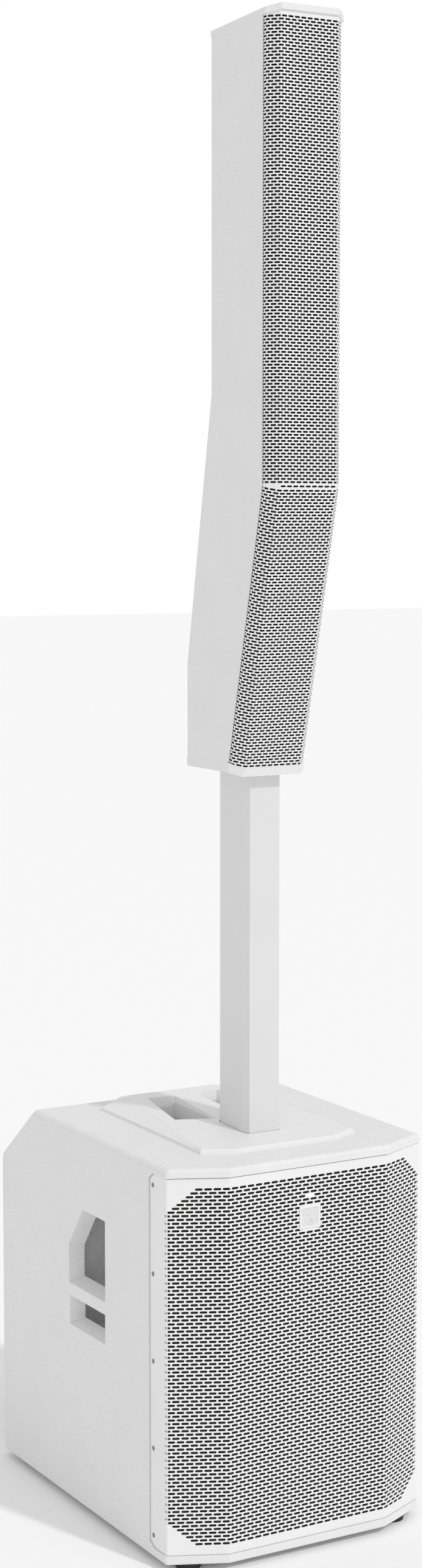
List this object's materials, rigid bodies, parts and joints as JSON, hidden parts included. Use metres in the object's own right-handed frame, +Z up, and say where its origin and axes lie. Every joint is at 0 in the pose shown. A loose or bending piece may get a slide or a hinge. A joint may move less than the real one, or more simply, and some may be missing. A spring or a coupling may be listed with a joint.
{
  "type": "column pa system",
  "caption": "Column loudspeaker system: bass cabinet with folded grille, hand openings and a carrying tray, a lift-off pole and a J-shaped speaker column.",
  "frame": {"origin": "on the floor under the middle of the bass cabinet", "axes": "+Z up, the grilles face -Y, and X = 0 is the plane of symmetry of the shells"},
  "size_m": [0.394, 0.5274, 1.997],
  "materials": {
    "cabinet_paint": "fine orange-peel textured paint on plywood, satin white",
    "grille_paint": "smooth satin powder coat, white",
    "white_plastic": "smooth moulded plastic, white",
    "pole_paint": "fine satin powder coat on aluminium, white",
    "column_paint": "fine textured paint on moulded plastic, satin white",
    "foam": "black open-cell acoustic foam",
    "black_steel": "black oxide steel",
    "screw_steel": "dark zinc",
    "wood_board": "raw birch plywood",
    "black_plastic": "matt moulded plastic",
    "rubber": "matt rubber",
    "paper_cone": "pressed paper, black",
    "ferrite": "ferrite and plated steel",
    "brass": "plated contact brass",
    "copper_coil": "enamelled copper wire",
    "aluminium": "bare aluminium",
    "circuit_green": "solder resist",
    "display_glass": "dark display window",
    "status_light": "lit white lens",
    "panel_paint": "fine black powder coat"
  },
  "bodies": {
    "bass_cabinet": {"sub_cabinet": "cabinet_paint", "baffle_board": "wood_board", "cabinet_brace": "wood_board", "port_tubes": "black_plastic", "sub_grille": "grille_paint", "sub_grille_foam": "foam", "grille_screws": "screw_steel", "badge_plate": "white_plastic", "status_lens": "status_light", "woofer_frame": "black_steel", "woofer_surround": "rubber", "woofer_spider": "paper_cone", "woofer_magnet": "ferrite", "woofer_screws": "screw_steel", "handle_cup_left": "cabinet_paint", "handle_cup_right": "cabinet_paint", "top_tray": "white_plastic", "pole_socket": "black_plastic", "socket_contacts": "brass", "amp_mounting_frame": "wood_board", "amp_panel": "panel_paint", "amp_chassis": "aluminium", "heat_sink": "aluminium", "power_board": "circuit_green", "amplifier_board": "circuit_green", "input_sockets": "black_plastic", "output_socket": "black_plastic", "mains_inlet": "black_plastic", "display_window": "display_glass", "panel_screws": "screw_steel", "control_bushes": "aluminium", "rubber_feet": "rubber"},
    "pole": {"pole_tube": "pole_paint", "pole_lower_plug": "black_plastic", "pole_upper_plug": "black_plastic", "pole_contacts": "brass", "pole_wiring": "black_plastic"},
    "column": {"column_housing": "column_paint", "column_top_cap": "column_paint", "column_bottom_cap": "column_paint", "column_socket": "black_plastic", "column_contacts": "brass", "column_grille": "grille_paint", "column_grille_foam": "foam", "column_baffle": "black_plastic", "driver_frames": "black_steel", "driver_magnets": "ferrite", "bracket_cover": "column_paint"},
    "upper_cones": {"upper_driver_cones": "paper_cone"},
    "lower_cones": {"lower_driver_cones": "paper_cone"},
    "woofer_cone_assembly": {"woofer_cone": "paper_cone", "woofer_dust_cap": "paper_cone", "woofer_voice_coil": "copper_coil"},
    "encoder_stem": {"encoder_shaft": "aluminium"},
    "encoder_knob": {"encoder_knob": "black_plastic"},
    "level_knob_1": {"level_knob_1": "black_plastic"},
    "level_knob_2": {"level_knob_2": "black_plastic"},
    "power_rocker": {"power_rocker": "black_plastic"},
    "input_latch_1": {"input_latch_1": "black_plastic"},
    "input_latch_2": {"input_latch_2": "black_plastic"}
  },
  "joints": [
    {"name": "pole_lift", "type": "slide", "parent": "bass_cabinet", "child": "pole", "axis": [0, 0, 1], "range_m": [0, 0.13]},
    {"name": "column_lift", "type": "slide", "parent": "pole", "child": "column", "axis": [0, 0, 1], "range_m": [0, 0.09]},
    {"name": "upper_cone_travel", "type": "slide", "parent": "column", "child": "upper_cones", "axis": [0, -1, 0], "range_m": [-0.0015, 0.0015], "stiffness_N_per_m": 4000},
    {"name": "lower_cone_travel", "type": "slide", "parent": "column", "child": "lower_cones", "axis": [0, -0.9738, -0.2272], "range_m": [-0.0015, 0.0015], "stiffness_N_per_m": 4000},
    {"name": "woofer_travel", "type": "slide", "parent": "bass_cabinet", "child": "woofer_cone_assembly", "axis": [0, -1, 0], "range_m": [-0.006, 0.006], "stiffness_N_per_m": 4000},
    {"name": "encoder_push", "type": "slide", "parent": "bass_cabinet", "child": "encoder_stem", "axis": [0, -1, 0], "range_m": [0, 0.0005], "stiffness_N_per_m": 2000, "springref_m": -0.0004},
    {"name": "encoder_turn", "type": "hinge", "parent": "encoder_stem", "child": "encoder_knob", "pos_m": [0.06, 0.25, 0.292], "axis": [0, 1, 0], "continuous": true},
    {"name": "level_1_turn", "type": "hinge", "parent": "bass_cabinet", "child": "level_knob_1", "pos_m": [-0.075, 0.25, 0.285], "axis": [0, 1, 0], "range_deg": [-150, 150]},
    {"name": "level_2_turn", "type": "hinge", "parent": "bass_cabinet", "child": "level_knob_2", "pos_m": [-0.025, 0.25, 0.285], "axis": [0, 1, 0], "range_deg": [-150, 150]},
    {"name": "power_rocker_tilt", "type": "hinge", "parent": "bass_cabinet", "child": "power_rocker", "pos_m": [-0.03, 0.2467, 0.112], "axis": [1, 0, 0], "range_deg": [-16, 0]},
    {"name": "latch_1_press", "type": "slide", "parent": "bass_cabinet", "child": "input_latch_1", "axis": [0, -1, 0], "range_m": [0, 0.0012], "stiffness_N_per_m": 1500, "springref_m": -0.0003},
    {"name": "latch_2_press", "type": "slide", "parent": "bass_cabinet", "child": "input_latch_2", "axis": [0, -1, 0], "range_m": [0, 0.0012], "stiffness_N_per_m": 1500, "springref_m": -0.0003}
  ],
  "couplings": [
    {"joint": "lower_cone_travel", "follows": "upper_cone_travel", "ratio": 1}
  ]
}
